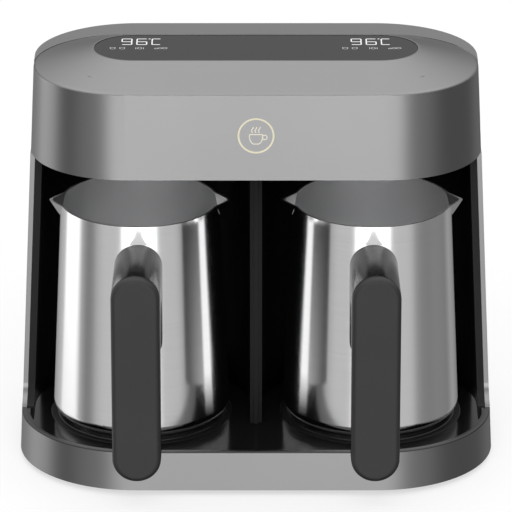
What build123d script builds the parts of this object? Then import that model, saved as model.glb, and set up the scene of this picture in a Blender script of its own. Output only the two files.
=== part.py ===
"""Electric Turkish coffee maker with two steel pots, as separate named solids in millimetres.

Frame: +Z up, the front faces -Y, X runs from the left pot to the right one. The origin is at the centre of
the bounding box on the surface that the feet stand on. "Reach" is a distance forward of the pot axes, and
"back" is a distance behind them.
"""

import os
from math import cos, radians, sin, sqrt, tan

from build123d import *

os.makedirs("parts", exist_ok=True)

# ---------------------------------------------------------------- driving sizes
# pots
pot_pitch = 118.0  # between the two pot axes
pot_rim_radius = 40.2
pot_foot_radius = 45.4
pot_height = 115.0  # warming plate to rim
pot_wall = 1.0
pot_edge_radius = 6.0  # rounded edge round the bottom
base_disc_radius = 37.0
base_disc_height = 1.6
disc_chamfer = 0.6
lip_reach = 6.6  # rim to the corner of the pouring lip, before that corner is rounded
lip_width = 22.0
lip_height = 8.6
lip_tip_radius = 4.0
lip_wall = 1.4
lip_start = 0.08  # share of its height where the lip begins

# handles
handle_width = 24.1
handle_slope = 6.5  # degrees, the neck rises away from the pot
root_height = 61.2
root_sink = 5.2  # root carried back inside the rim
root_drop = 9.1  # pot rim to the top of the root
grip_clearance = 8.0  # base front to the back of the grip
grip_depth = 13.0
pad_depth = 4.0
grip_bottom = 18.0  # lower end of the grip above the table
web_height = 23.5  # neck height where it meets the grip
web_corner = 9.0
web_inset = 6.0  # root thickness at its lower end
throat_gap = 24.9  # back of the grip to the bend where the root thins into the neck
throat_corner = 14.0
grip_rounding = 3.0  # edges that the fingers close on
pad_rounding = 2.6
pad_groove = 0.6  # chamfer along the line between frame and pad
saddle_width = 14.0  # bracket welded to the pot wall
saddle_height = 36.0
saddle_thickness = 1.5
saddle_corner = 4.0
stud_radius = 4.0
stud_length = 18.0
stud_drop = 29.0  # pot rim to the stud's axis at the wall
handle_screw_radius = 2.0
handle_screw_sink = 6.0  # depth of the screw head under the pad
handle_screw_head = 2.5
thread_depth = 12.0  # threaded hole in the stud
thread_gap = 1.0  # left past the end of the screw

# housing
wall = 2.4
draft = 2.64  # degrees, every outer wall leans in upwards
foot_height = 3.0
base_height = 20.6
plan_corner = 60.0  # corner radius at the bottom edge
base_reach = 80.5
bay_side_gap = 10.2  # pot to the side wall of its bay
bay_back_gap = 6.6  # pot to the back wall of its bay
service_depth = 17.2  # bay back wall to the outside of the rear wall
column_reach = 13.5  # front plane of the side columns
column_band = 3.6  # black band beside each column
foot_sweep = 9.0  # radius that carries a column into the base rim
foot_edge = 0.8  # thickness left at the front of that sweep
rib_reach = 17.6
rib_width = 6.0
bead_radius = 1.6
bay_corner = 46.0
liner_wall = 2.0
band_depth = 2.5
rib_length = 55.0
headroom = 30.0  # pot rim to the head's lower edge
head_height = 44.4
head_depth = 93.5  # stadium across, at its upper edge
head_reach = 5.0  # stadium centre forward of the pot axes
bevel_rise = 8.5
glass_length = 162.0
glass_width = 40.0
glass_thickness = 2.0
glass_step = 0.2  # glass below the top edge of the housing
glass_frame = 0.8  # housing left round the glass
glass_bed = 2.0  # shelf that carries the glass
glass_shelf = 5.6  # that shelf, seen from below, round the glass
shoulder_radius = 1.5
head_floor = 2.0  # plate that closes the head
skirt_drop = 3.0  # head edge to the lower edge of the head cover behind its front wall
cavity_drop = 1.6  # head edge to the line where the inner skin turns in under the bevel
board_thickness = 1.6
board_corner = 2.0
display_length = 34.0
display_width = 13.0
display_chamfer = 0.6
display_x = 58.1
display_y = 9.6  # display centre behind the centre line of the glass
icon_drop = 21.4  # upper edge of the head to the icon's centre
icon_radius = 9.1
icon_line = 0.9
icon_depth = 0.8
icon_board_size = 27.0
sensor_radius = 5.0
sensor_flange = 2.0
sensor_flange_height = 3.0
sensor_rim = 1.5
sensor_dimple = 1.0

# tray and warming plates
floor_height = 10.0  # bottom edge of the base to the tray floor
tray_floor = 2.0
tray_wall = 1.2
rim_step = 0.6  # tray edge below the base rim
seat_margin = 1.2  # pot foot to the edge of its round seat
seal_width = 3.4
seal_drop = 0.3  # seal below the warming plate
seal_rounding = 0.4
heater_hole = 6.0
plate_proud = 0.6  # warming plate above the tray floor
plate_flange = 1.3
heater_thickness = 1.2
heater_margin = 5.0  # pot foot to the edge of the heater
clamp_thickness = 1.2
clamp_margin = 7.0  # pot foot to the edge of the clamp
clamp_slot_length = 16.0
clamp_slot_width = 5.0
clamp_slots = 6
probe_gap = 1.0  # temperature sensor to the hole round it
probe_rounding = 1.0
cover_thickness = 2.0

# clearances
seam = 0.3  # visible seam between mouldings
fit = 0.2  # loose fit between pieces of one body
seal_fit = 0.1  # rubber against what it seals
press_fit = 0.05  # pieces pushed or screwed into each other
edge = 1.0  # softened outer edges
fine_edge = 0.3  # chamfer of thin discs and of the glass
over = 1.0  # a cut runs this far past the face that it opens

# ---------------------------------------------------------------- derived sizes
lean = tan(radians(draft))
half_pitch = pot_pitch / 2
housing_width = pot_pitch + 2 * (pot_foot_radius + bay_side_gap + column_band + wall)
bay_back = pot_foot_radius + bay_back_gap
rear_back = bay_back + service_depth
grip_back_reach = base_reach + grip_clearance
pad_reach = grip_back_reach + grip_depth
grip_reach = pad_reach + pad_depth
pot_y = (grip_reach - rear_back) / 2
plan_y = pot_y + (rear_back - base_reach) / 2
column_y = pot_y - column_reach
head_y = pot_y - head_reach

base_rim_z = foot_height + base_height
floor_z = foot_height + floor_height
plate_z = floor_z + plate_proud
pot_top_z = plate_z + pot_height
head_bottom_z = pot_top_z + headroom
head_edge_z = head_bottom_z + head_height
head_top_z = head_edge_z + bevel_rise
ceiling_z = head_bottom_z + wall  # underside of the plate that closes the head
head_floor_z = ceiling_z + head_floor
skirt_z = head_edge_z - skirt_drop
glass_top_z = head_top_z - glass_step
glass_z = glass_top_z - glass_thickness
bed_z = glass_z - glass_bed
icon_z = head_edge_z - icon_drop
seat_radius = pot_foot_radius + seat_margin
cup_z = plate_z + base_disc_height  # underside of the pot's own bottom
slope = radians(handle_slope)
root_top_z = pot_top_z - root_drop
grip_top_z = root_top_z + (pad_reach - pot_rim_radius) * tan(slope)
big = 4 * housing_width
pot_places = [(-half_pitch, pot_y), (half_pitch, pot_y)]

print("housing", round(housing_width, 1), "x", round(base_reach + rear_back, 1), "x", round(head_top_z, 1))


def leaned(z):
    """How far the outer skin has moved inwards at height z."""
    return (z - foot_height) * lean


def housing_block(low, high, inset=0.0, mode=Mode.ADD):
    """Rounded housing plan between two heights, `inset` inside the outer skin."""
    shrink = leaned(low) + inset
    with BuildSketch(Plane.XY.offset(low)) as plan:
        with Locations((0, plan_y)):
            RectangleRounded(
                housing_width - 2 * shrink, base_reach + rear_back - 2 * shrink, plan_corner - shrink
            )
    return extrude(plan.sketch, amount=high - low, taper=draft, mode=mode)


def head_block(low, high, inset=0.0, mode=Mode.ADD):
    """Stadium plan of the head between two heights, `inset` inside its skin."""
    grow = (head_edge_z - low) * lean - inset
    length = housing_width - 2 * leaned(head_edge_z)
    with BuildSketch(Plane.XY.offset(low)) as plan:
        with Locations((0, head_y)):
            SlotOverall(length + 2 * grow, head_depth + 2 * grow)
    return extrude(plan.sketch, amount=high - low, taper=draft, mode=mode)


def bevel_block(low, high, bottom_inset, top_margin, mode=Mode.ADD):
    """Sloping top between the head's edge and the glass."""
    grow = (head_edge_z - low) * lean - bottom_inset
    length = housing_width - 2 * leaned(head_edge_z)
    with BuildSketch(Plane.XY.offset(low)) as lower:
        with Locations((0, head_y)):
            SlotOverall(length + 2 * grow, head_depth + 2 * grow)
    with BuildSketch(Plane.XY.offset(high)) as upper:
        with Locations((0, head_y)):
            SlotOverall(glass_length + 2 * top_margin, glass_width + 2 * top_margin)
    return loft([lower.sketch, upper.sketch], ruled=True, mode=mode)


def front_cut(front_y, low, high, mode=Mode.SUBTRACT):
    """Everything forward of an upright plane, between two heights."""
    with BuildSketch(Plane.XY.offset(low)) as plan:
        with Locations((0, front_y - big / 2)):
            Rectangle(big, big)
    return extrude(plan.sketch, amount=high - low, mode=mode)


def back_cut(back_y, low, high, mode=Mode.SUBTRACT):
    """Everything behind an upright plane, between two heights."""
    with BuildSketch(Plane.XY.offset(low)) as plan:
        with Locations((0, back_y + big / 2)):
            Rectangle(big, big)
    return extrude(plan.sketch, amount=high - low, mode=mode)


def discs(places, radius, low, high, mode=Mode.ADD):
    """Upright round bars or holes at several places, between two heights."""
    with BuildSketch(Plane.XY.offset(low)) as plan:
        with Locations(*places):
            Circle(radius)
    return extrude(plan.sketch, amount=high - low, mode=mode)


def swept_cut(low, high, mode=Mode.SUBTRACT):
    """Everything forward of the column plane, with the foot that sweeps into the base left standing."""
    with BuildSketch(Plane.YZ) as profile:
        with BuildLine():
            Line((-big, low), (column_y - foot_sweep, low))
            RadiusArc((column_y - foot_sweep, low), (column_y, low + foot_sweep), -foot_sweep)
            Polyline((column_y, low + foot_sweep), (column_y, high), (-big, high), (-big, low))
        make_face()
    return extrude(profile.sketch, amount=big, both=True, mode=mode)


def bay_block(side, low, high, grow=0.0, mode=Mode.ADD):
    """One bay between two heights: straight inner side, drafted outer side, wide rounded back."""
    sections = []
    for z in (low, high):
        outer = housing_width / 2 - leaned(z) - wall - column_band + grow
        inner = rib_width / 2 - grow
        back = bay_back + grow
        front = column_reach + 2 * bay_corner
        with BuildSketch(Plane.XY.offset(z)) as plan:
            with Locations((side * (outer + inner) / 2, pot_y + (back - front) / 2)):
                RectangleRounded(outer - inner, back + front, bay_corner + grow)
        sections.append(plan.sketch)
    return loft(sections, ruled=True, mode=mode)


def finish(part, name):
    """Label one piece and write it."""
    part.label = name
    export_step(part, f"parts/{name}.step")


# ---------------------------------------------------------------- base
ledge_z = floor_z - tray_floor - fit  # ledge that carries the tray
ledge_width = 2.0
ledge_thickness = 1.8
with BuildPart() as base_shell:
    housing_block(foot_height, base_rim_z)
    rim_edges = base_shell.edges().group_by(Axis.Z)[-1]
    fillet(rim_edges, edge)
    housing_block(foot_height - over, ledge_z - ledge_thickness, wall, mode=Mode.SUBTRACT)
    housing_block(ledge_z - ledge_thickness - over, ledge_z + fit, wall + ledge_width, mode=Mode.SUBTRACT)
    housing_block(ledge_z, base_rim_z + over, wall, mode=Mode.SUBTRACT)
finish(base_shell.part, "base_shell")

boss_side = 26.0  # housing side to the bosses
boss_end = 24.0  # housing front and rear to the bosses and feet
boss_x = housing_width / 2 - boss_side
boss_front_y = pot_y - base_reach + boss_end
boss_back_y = pot_y + rear_back - boss_end
boss_places = [(x, y) for x in (-boss_x, boss_x) for y in (boss_front_y, boss_back_y)]
boss_radius = 4.0
screw_radius = 1.5
screw_head = 1.0
screw_head_radius = 3.0
cover_top_z = foot_height + cover_thickness
tray_bottom_z = floor_z - tray_floor
seal_lip = 2.0  # ledge of the tray under the seal
seal_z = floor_z - tray_floor / 2
with BuildPart() as base_tray:
    housing_block(tray_bottom_z, base_rim_z - rim_step, wall + fit)
    housing_block(floor_z, base_rim_z, wall + fit + tray_wall, mode=Mode.SUBTRACT)
    discs(boss_places, boss_radius, cover_top_z, tray_bottom_z)
    discs(boss_places, screw_radius + press_fit, cover_top_z, tray_bottom_z, mode=Mode.SUBTRACT)
    discs(pot_places, seat_radius, seal_z, floor_z, mode=Mode.SUBTRACT)
    discs(pot_places, seat_radius - seal_lip, tray_bottom_z, floor_z, mode=Mode.SUBTRACT)
finish(base_tray.part, "base_tray")

foot_radius = 8.0
foot_side = 44.0  # housing side to the feet
foot_x = housing_width / 2 - foot_side
foot_places = [(x, y) for x in (-foot_x, foot_x) for y in (boss_front_y, boss_back_y)]
vent_length = 30.0
vent_width = 2.4
vent_pitch = 6.0
vent_count = 5
foot_recess = 0.8
with BuildPart() as bottom_cover:
    housing_block(foot_height, cover_top_z, wall + fit)
    with BuildSketch(Plane.XY.offset(foot_height)):
        with Locations((0, pot_y)):
            with GridLocations(0, vent_pitch, 1, vent_count):
                SlotOverall(vent_length, vent_width)
    extrude(amount=cover_thickness, mode=Mode.SUBTRACT)
    discs(boss_places, screw_radius + fit, foot_height, cover_top_z, mode=Mode.SUBTRACT)
    discs(boss_places, screw_head_radius + fit, foot_height, foot_height + screw_head, mode=Mode.SUBTRACT)
    discs(foot_places, foot_radius + press_fit, foot_height, foot_height + foot_recess, mode=Mode.SUBTRACT)
finish(bottom_cover.part, "bottom_cover")

with BuildPart() as rubber_feet:
    discs(foot_places, foot_radius, 0, foot_height + foot_recess)
    chamfer(rubber_feet.edges().group_by(Axis.Z)[0], foot_recess)
finish(rubber_feet.part, "rubber_feet")

with BuildPart() as base_screws:
    discs(boss_places, screw_head_radius, foot_height + press_fit, foot_height + screw_head)
    discs(boss_places, screw_radius, foot_height + screw_head, tray_bottom_z - press_fit)
finish(base_screws.part, "base_screws")

# ---------------------------------------------------------------- rear housing and bays
gland_z = base_rim_z + 14.0
gland_radius = 7.0
gland_bore = 3.4
gland_proud = 1.0
gland_rounding = 0.8
rear_y = pot_y + rear_back
with BuildPart() as rear_housing:
    housing_block(base_rim_z + seam, head_edge_z)
    housing_block(base_rim_z, head_edge_z - wall, wall, mode=Mode.SUBTRACT)
    swept_cut(base_rim_z + foot_edge, head_bottom_z - seam)
    front_cut(column_y - foot_sweep, base_rim_z, base_rim_z + foot_edge)
    front_cut(head_y + seam / 2, head_bottom_z - seam, head_edge_z + over)
    head_block(skirt_z - seam, head_edge_z + over, -seam, mode=Mode.SUBTRACT)
    with BuildSketch(Plane.XZ.offset(-rear_y - over)):
        with Locations((0, gland_z)):
            Circle(gland_radius + press_fit)
    extrude(amount=service_depth, mode=Mode.SUBTRACT)
finish(rear_housing.part, "rear_housing")

band_low_z = base_rim_z - rim_step + fit
liner_low_z = floor_z + press_fit
liner_top_z = ceiling_z - fit
with BuildPart() as bay_walls:
    # one wall round each pot, open at the front
    for side in (-1, 1):
        bay_block(side, liner_low_z, liner_top_z, liner_wall)
    front_cut(column_y, floor_z, liner_top_z + over)

with BuildPart() as bay_liner:
    # black band beside each column, swept forward at its foot like the column
    housing_block(band_low_z, head_bottom_z - seam, wall + fit)
    housing_block(band_low_z, head_bottom_z, wall + column_band, mode=Mode.SUBTRACT)
    swept_cut(base_rim_z + foot_edge, head_bottom_z)
    front_cut(column_y - foot_sweep, floor_z, base_rim_z + foot_edge)
    back_cut(column_y + band_depth, floor_z, head_edge_z)
    add(bay_walls.part)
    rib_back = pot_y - rib_reach + rib_length / 2
    with BuildSketch(Plane.XY.offset(liner_low_z)):
        with Locations((0, rib_back)):
            Rectangle(rib_width, rib_length)
    extrude(amount=liner_top_z - liner_low_z)
    with BuildSketch(Plane.XY.offset(liner_low_z)):
        with Locations((0, pot_y - rib_reach)):
            Circle(bead_radius)
    extrude(amount=liner_top_z - liner_low_z)
    for side in (-1, 1):
        bay_block(side, floor_z - over, liner_top_z + over, mode=Mode.SUBTRACT)
finish(bay_liner.part, "bay_liner")

gland_flange = 1.6
gland_flange_radius = 9.0
gland_wall_y = rear_y - leaned(gland_z) - wall  # inner face of the rear wall at the gland
with BuildPart() as cord_gland:
    gland_inner_y = gland_wall_y - gland_flange_radius * lean
    with BuildSketch(Plane.XZ.offset(-gland_inner_y)):
        with Locations((0, gland_z)):
            Circle(gland_radius)
    extrude(amount=-(rear_y - leaned(gland_z) + gland_proud - gland_inner_y))
    fillet(cord_gland.edges().sort_by(Axis.Y)[-1], gland_rounding)
    with BuildSketch(Plane.XZ.offset(-gland_inner_y)):
        with Locations((0, gland_z)):
            Circle(gland_flange_radius)
    extrude(amount=gland_flange)
    with BuildSketch(Plane.XZ.offset(-rear_y)):
        with Locations((0, gland_z)):
            Circle(gland_bore)
    extrude(amount=2 * service_depth, mode=Mode.SUBTRACT)
finish(cord_gland.part, "cord_gland")

# ---------------------------------------------------------------- warming plates
plate_top_radius = seat_radius - seal_width - seal_fit
flange_top_z = tray_bottom_z - seal_fit
plate_low_z = flange_top_z - plate_flange
foil_low_z = plate_low_z - heater_thickness
clamp_low_z = foil_low_z - clamp_thickness
for label, place in (("left", pot_places[0]), ("right", pot_places[1])):
    with BuildPart() as heater_plate:
        discs([place], plate_top_radius, flange_top_z, plate_z)
        chamfer(heater_plate.edges().group_by(Axis.Z)[-1], fine_edge)
        discs([place], seat_radius, plate_low_z, flange_top_z)
    finish(heater_plate.part, f"{label}_heater_plate")

    with BuildPart() as heater_seal:
        discs([place], seat_radius - seal_fit, seal_z, plate_z - seal_drop)
        fillet(heater_seal.edges().group_by(Axis.Z)[-1], seal_rounding)
        discs([place], plate_top_radius + seal_fit, seal_z, plate_z, mode=Mode.SUBTRACT)
    finish(heater_seal.part, f"{label}_heater_seal")

    with BuildPart() as foil_heater:
        discs([place], pot_foot_radius - heater_margin, foil_low_z, plate_low_z)
        discs([place], heater_hole, foil_low_z, plate_low_z, mode=Mode.SUBTRACT)
    finish(foil_heater.part, f"{label}_foil_heater")

    with BuildPart() as heater_clamp:
        discs([place], pot_foot_radius - clamp_margin, clamp_low_z, foil_low_z)
        discs([place], heater_hole, clamp_low_z, foil_low_z, mode=Mode.SUBTRACT)
        with BuildSketch(Plane.XY.offset(clamp_low_z)):
            with Locations(place):
                with PolarLocations(pot_foot_radius / 2, clamp_slots):
                    SlotOverall(clamp_slot_length, clamp_slot_width)
        extrude(amount=clamp_thickness, mode=Mode.SUBTRACT)
    finish(heater_clamp.part, f"{label}_heater_clamp")

    with BuildPart() as thermal_sensor:
        discs([place], heater_hole - probe_gap, cover_top_z + fit, plate_low_z)
        fillet(thermal_sensor.edges().group_by(Axis.Z)[0], probe_rounding)
    finish(thermal_sensor.part, f"{label}_thermal_sensor")

# ---------------------------------------------------------------- head
icon_front_y = head_y - head_depth / 2 - (head_edge_z - icon_z) * lean
icon_plane = Plane(
    origin=(0, icon_front_y, icon_z),
    x_dir=(1, 0, 0),
    z_dir=(0, -cos(radians(draft)), sin(radians(draft))),
)
cavity_z = head_edge_z - cavity_drop
display_places = [(x, head_y + display_y) for x in (-display_x, display_x)]
head_boss_side = 40.0  # housing side to the bosses
head_boss_x = housing_width / 2 - head_boss_side
head_boss_y = 28.0
head_boss_radius = 3.2
head_boss_rise = 3.6  # the bosses run up into the bevel
head_boss_places = [(x, head_y + y) for x in (-head_boss_x, head_boss_x) for y in (-head_boss_y, head_boss_y)]
head_screw_length = 12.0
with BuildPart() as head_shell:
    head_block(head_bottom_z, head_edge_z)
    bevel_block(head_edge_z, head_top_z, 0.0, glass_frame)
    shoulder = head_shell.edges().filter_by_position(Axis.Z, head_edge_z - fit, head_edge_z + fit)
    fillet(shoulder, shoulder_radius)
    head_block(head_bottom_z - over, cavity_z, wall, mode=Mode.SUBTRACT)
    bevel_block(cavity_z, bed_z, wall, glass_shelf, mode=Mode.SUBTRACT)
    back_cut(head_y - seam / 2, head_bottom_z - over, skirt_z)
    # recess for the glass, with a window under each display
    with BuildSketch(Plane.XY.offset(glass_z)):
        with Locations((0, head_y)):
            SlotOverall(glass_length + fit, glass_width + fit)
    extrude(amount=head_top_z - glass_z, mode=Mode.SUBTRACT)
    with BuildSketch(Plane.XY.offset(bed_z)):
        with Locations(*display_places):
            Rectangle(display_length + fit, display_width + fit)
    extrude(amount=glass_bed, mode=Mode.SUBTRACT)
    # groove for the light ring
    with BuildSketch(icon_plane):
        Circle(icon_radius)
        Circle(icon_radius - icon_line, mode=Mode.SUBTRACT)
    extrude(amount=-icon_depth, mode=Mode.SUBTRACT)
    discs(head_boss_places, head_boss_radius, head_floor_z, head_edge_z + head_boss_rise)
    thread_top_z = ceiling_z + head_screw_length
    discs(head_boss_places, screw_radius + press_fit, head_floor_z, thread_top_z, mode=Mode.SUBTRACT)
finish(head_shell.part, "head_shell")

with BuildPart() as touch_glass:
    with BuildSketch(Plane.XY.offset(glass_z)):
        with Locations((0, head_y)):
            SlotOverall(glass_length, glass_width)
    extrude(amount=glass_thickness)
    chamfer(touch_glass.edges().group_by(Axis.Z)[-1], fine_edge)
finish(touch_glass.part, "touch_glass")

touch_margin = 4.0
with BuildPart() as touch_board:
    with BuildSketch(Plane.XY.offset(bed_z - board_thickness)):
        with Locations((0, head_y)):
            SlotOverall(glass_length - touch_margin, glass_width - touch_margin)
    extrude(amount=board_thickness)
finish(touch_board.part, "touch_board")

for label, place in (("left", display_places[0]), ("right", display_places[1])):
    with BuildPart() as display:
        with BuildSketch(Plane.XY.offset(bed_z)):
            with Locations(place):
                Rectangle(display_length, display_width)
        extrude(amount=glass_bed)
        chamfer(display.edges().filter_by(Axis.Z), display_chamfer)
    finish(display.part, f"{label}_display")

with BuildPart() as icon_ring:
    with BuildSketch(icon_plane):
        Circle(icon_radius)
        Circle(icon_radius - icon_line, mode=Mode.SUBTRACT)
    extrude(amount=-icon_depth)
finish(icon_ring.part, "icon_ring")

with BuildPart() as icon_light_board:
    with BuildSketch(icon_plane.offset(-wall)):
        RectangleRounded(icon_board_size, icon_board_size, board_corner)
    extrude(amount=-board_thickness)
finish(icon_light_board.part, "icon_light_board")

power_board_length = 120.0
power_board_width = 60.0
board_standoff = 6.0
board_shift = 8.0  # power board behind the head's centre line
standoff_inset = 5.0
standoff_radius = 3.0
board_y = head_y + board_shift
board_z = head_floor_z + board_standoff
standoff_places = [
    (x, board_y + y)
    for x in (-power_board_length / 2 + standoff_inset, power_board_length / 2 - standoff_inset)
    for y in (-power_board_width / 2 + standoff_inset, power_board_width / 2 - standoff_inset)
]
with BuildPart() as rear_floor:
    housing_block(ceiling_z, head_floor_z, wall + fit)
    front_cut(head_y, ceiling_z, head_floor_z)

with BuildPart() as head_underplate:
    head_block(ceiling_z, head_floor_z, wall + fit)
    add(rear_floor.part)
    discs(standoff_places, standoff_radius, head_floor_z, board_z)
    discs(pot_places, sensor_radius + fit / 2, ceiling_z, head_floor_z, mode=Mode.SUBTRACT)
    discs(head_boss_places, screw_radius + fit, ceiling_z, head_floor_z, mode=Mode.SUBTRACT)
    discs(head_boss_places, screw_head_radius + fit, ceiling_z, ceiling_z + screw_head, mode=Mode.SUBTRACT)
finish(head_underplate.part, "head_underplate")

with BuildPart() as head_screws:
    discs(head_boss_places, screw_head_radius, ceiling_z + press_fit, ceiling_z + screw_head)
    discs(head_boss_places, screw_radius, ceiling_z + screw_head, thread_top_z - press_fit)
finish(head_screws.part, "head_screws")

for label, place in (("left", pot_places[0]), ("right", pot_places[1])):
    with BuildPart() as boil_sensor:
        discs([place], sensor_radius, ceiling_z, head_floor_z)
        discs([place], sensor_radius + sensor_flange, head_floor_z, head_floor_z + sensor_flange_height)
        discs([place], sensor_radius - sensor_rim, ceiling_z, ceiling_z + sensor_dimple, mode=Mode.SUBTRACT)
    finish(boil_sensor.part, f"{label}_boil_sensor")

with BuildPart() as power_board:
    with BuildSketch(Plane.XY.offset(board_z)):
        with Locations((0, board_y)):
            RectangleRounded(power_board_length, power_board_width, board_corner)
    extrude(amount=board_thickness)
finish(power_board.part, "power_board")

board_top_z = board_z + board_thickness
block_y = board_y + 10.0  # line of the tall components
block_corner = 1.0
relay_length = 19.0
relay_width = 15.5
relay_height = 15.5
relay_chamfer = 0.6
relay_places = [(-power_board_length / 4, block_y), (power_board_length / 4, block_y)]
with BuildPart() as heater_relays:
    with BuildSketch(Plane.XY.offset(board_top_z)):
        with Locations(*relay_places):
            RectangleRounded(relay_length, relay_width, block_corner)
    extrude(amount=relay_height)
    chamfer(heater_relays.edges().group_by(Axis.Z)[-1], relay_chamfer)
finish(heater_relays.part, "heater_relays")

core_length = 22.0
core_width = 18.0
core_height = 4.0
coil_length = 15.0
coil_width = 16.0
coil_height = 12.0
coil_corner = 3.0
coil_rounding = 1.0
with BuildPart() as supply_transformer:
    with BuildSketch(Plane.XY.offset(board_top_z)):
        with Locations((0, block_y)):
            RectangleRounded(core_length, core_width, block_corner)
    extrude(amount=core_height)
    with BuildSketch(Plane.XY.offset(board_top_z + core_height)):
        with Locations((0, block_y)):
            RectangleRounded(coil_length, coil_width, coil_corner)
    extrude(amount=coil_height)
    fillet(supply_transformer.edges().group_by(Axis.Z)[-1], coil_rounding)
finish(supply_transformer.part, "supply_transformer")

buzzer_place = (0, board_y - 16.0)
buzzer_radius = 6.0
buzzer_height = 7.0
buzzer_hole = 1.2
buzzer_floor = 2.0
buzzer_rounding = 0.6
buzzer_top_z = board_top_z + buzzer_height
with BuildPart() as buzzer:
    discs([buzzer_place], buzzer_radius, board_top_z, buzzer_top_z)
    fillet(buzzer.edges().group_by(Axis.Z)[-1], buzzer_rounding)
    discs([buzzer_place], buzzer_hole, board_top_z + buzzer_floor, buzzer_top_z, mode=Mode.SUBTRACT)
finish(buzzer.part, "buzzer")


# ---------------------------------------------------------------- pots
def pot_radius(z):
    """Outer radius of a pot's tapered wall at height z."""
    return pot_foot_radius + (pot_rim_radius - pot_foot_radius) * (z - plate_z) / pot_height


def reach_plane(place, reach):
    """Upright plane facing forward, centred on a pot, at a distance in front of its axis."""
    return Plane(origin=(place[0], place[1] - reach, 0), x_dir=(1, 0, 0), z_dir=(0, -1, 0))


def pot_cone(place, shift, low, high, mode=Mode.ADD):
    """Tapered round solid of the pot wall between two heights, `shift` inside its outer face."""
    sections = []
    for z in (low, high):
        with BuildSketch(Plane.XY.offset(z)) as plan:
            with Locations(place):
                Circle(pot_radius(z) - shift)
        sections.append(plan.sketch)
    return loft(sections, ruled=True, mode=mode)


def lip_wedge(place, side, shift, high, mode=Mode.ADD):
    """Pouring lip: a pointed wedge that starts on the wall and grows to the rim, `shift` nearer the axis."""
    sag = pot_rim_radius - sqrt(pot_rim_radius**2 - (lip_width / 2) ** 2)
    start_z = pot_top_z - lip_height
    sections = []
    for z in (start_z + lip_start * lip_height, high):
        share = (z - start_z) / lip_height
        base = pot_radius(z) - shift
        chord = side * (base - share * sag)
        tip = side * (base + share * lip_reach)
        half = share * lip_width / 2
        plane = Plane(origin=(place[0], place[1], z), x_dir=(1, 0, 0), z_dir=(0, 0, 1))
        with BuildSketch(plane) as plan:
            with BuildLine():
                Polyline((chord, -half), (tip, 0), (chord, half), close=True)
            make_face()
            corner = plan.vertices().sort_by(Axis.X)[-1 if side > 0 else 0]
            fillet(corner, share * lip_tip_radius)
        sections.append(plan.sketch)
    return loft(sections, ruled=True, mode=mode)


neck_forward = (0, -cos(slope), sin(slope))
neck_backward = (0, cos(slope), -sin(slope))


def neck_plane(place, reach):
    """Plane square to the neck, centred on the stud's axis."""
    stud_z = pot_top_z - stud_drop + (reach - pot_rim_radius) * tan(slope)
    return Plane(origin=(place[0], place[1] - reach, stud_z), x_dir=(1, 0, 0), z_dir=neck_forward)


def saddle(place, slack, mode=Mode.ADD):
    """Plate that lies on the pot wall behind the root of the handle."""
    face_reach = pot_radius(pot_top_z - stud_drop) + saddle_thickness + slack
    with BuildSketch(reach_plane(place, face_reach)) as plan:
        with Locations((0, pot_top_z - stud_drop)):
            RectangleRounded(saddle_width + 2 * slack, saddle_height + 2 * slack, saddle_corner)
    return extrude(plan.sketch, amount=-pot_rim_radius / 2, mode=mode)


def neck_bar(place, radius, back_reach, front_reach, mode=Mode.ADD):
    """Round bar or hole along the neck between two reaches."""
    with BuildSketch(neck_plane(place, back_reach)) as plan:
        Circle(radius)
    return extrude(plan.sketch, amount=(front_reach - back_reach) / cos(slope), mode=mode)


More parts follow.
